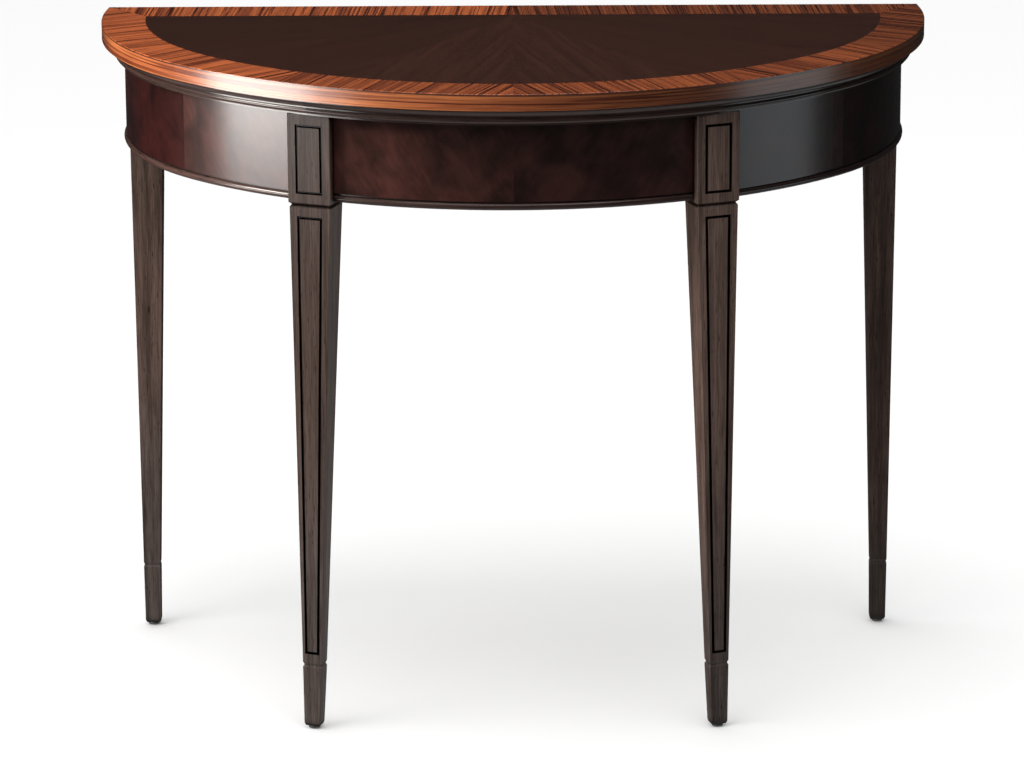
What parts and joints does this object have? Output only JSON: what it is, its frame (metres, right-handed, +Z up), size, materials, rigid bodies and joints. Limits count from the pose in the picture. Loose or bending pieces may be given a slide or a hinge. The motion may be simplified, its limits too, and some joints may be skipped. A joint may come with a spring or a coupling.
{
  "type": "demilune table",
  "caption": "Half-round side table with a sunburst veneered top in a striped crossband, a moulded edge, a bowed apron with a bead, and tapered legs with routed panels.",
  "frame": {"origin": "on the floor, under the middle of the top's box", "axes": "+X along the straight back edge, +Y towards the back edge, +Z up; the curved front faces -Y"},
  "size_m": [0.957, 0.46, 0.762],
  "materials": {
    "field_veneer": "dark brown sunburst veneer, glossy lacquer",
    "crossband_veneer": "striped red-brown veneer, glossy lacquer",
    "edge_lipping": "striped red-brown edge, glossy lacquer",
    "moulding_wood": "dark stained, glossy lacquer",
    "apron_veneer": "dark red figured veneer, glossy lacquer",
    "bead_wood": "dark stained, glossy lacquer",
    "leg_wood": "grey-brown stained, satin lacquer",
    "core_wood": "bare wood",
    "dowel_wood": "bare wood",
    "screw_steel": "plain steel",
    "glide_steel": "plain steel"
  },
  "bodies": {
    "root": {"apron_core_centre": "core_wood", "apron_core_left": "core_wood", "apron_core_right": "core_wood", "apron_dowels": "dowel_wood", "apron_veneer_centre_left": "apron_veneer", "apron_veneer_centre_right": "apron_veneer", "apron_veneer_rear_left": "apron_veneer", "apron_veneer_rear_right": "apron_veneer", "apron_veneer_side_left": "apron_veneer", "apron_veneer_side_right": "apron_veneer", "backing_veneer": "core_wood", "bead_centre": "bead_wood", "bead_left": "bead_wood", "bead_right": "bead_wood", "centre_bearer": "core_wood", "corner_block_left": "core_wood", "corner_block_right": "core_wood", "crossband_back_left": "crossband_veneer", "crossband_back_right": "crossband_veneer", "crossband_end_left": "crossband_veneer", "crossband_end_right": "crossband_veneer", "crossband_front_left": "crossband_veneer", "crossband_front_right": "crossband_veneer", "crossband_middle_left": "crossband_veneer", "crossband_middle_right": "crossband_veneer", "edge_lipping_back": "edge_lipping", "edge_lipping_left": "edge_lipping", "edge_lipping_right": "edge_lipping", "field_leaf_1": "field_veneer", "field_leaf_2": "field_veneer", "field_leaf_3": "field_veneer", "field_leaf_4": "field_veneer", "field_leaf_5": "field_veneer", "field_leaf_6": "field_veneer", "frame_dowels": "dowel_wood", "glide_front_left": "glide_steel", "glide_front_right": "glide_steel", "glide_rear_left": "glide_steel", "glide_rear_right": "glide_steel", "glue_block_front_left": "core_wood", "glue_block_front_right": "core_wood", "glue_block_side_left": "core_wood", "glue_block_side_right": "core_wood", "leg_front_left": "leg_wood", "leg_front_right": "leg_wood", "leg_rear_left": "leg_wood", "leg_rear_right": "leg_wood", "leg_screws": "screw_steel", "moulding_centre": "moulding_wood", "moulding_left": "moulding_wood", "moulding_right": "moulding_wood", "rear_rail": "core_wood", "top_core": "core_wood", "top_screws": "screw_steel"}
  },
  "joints": []
}
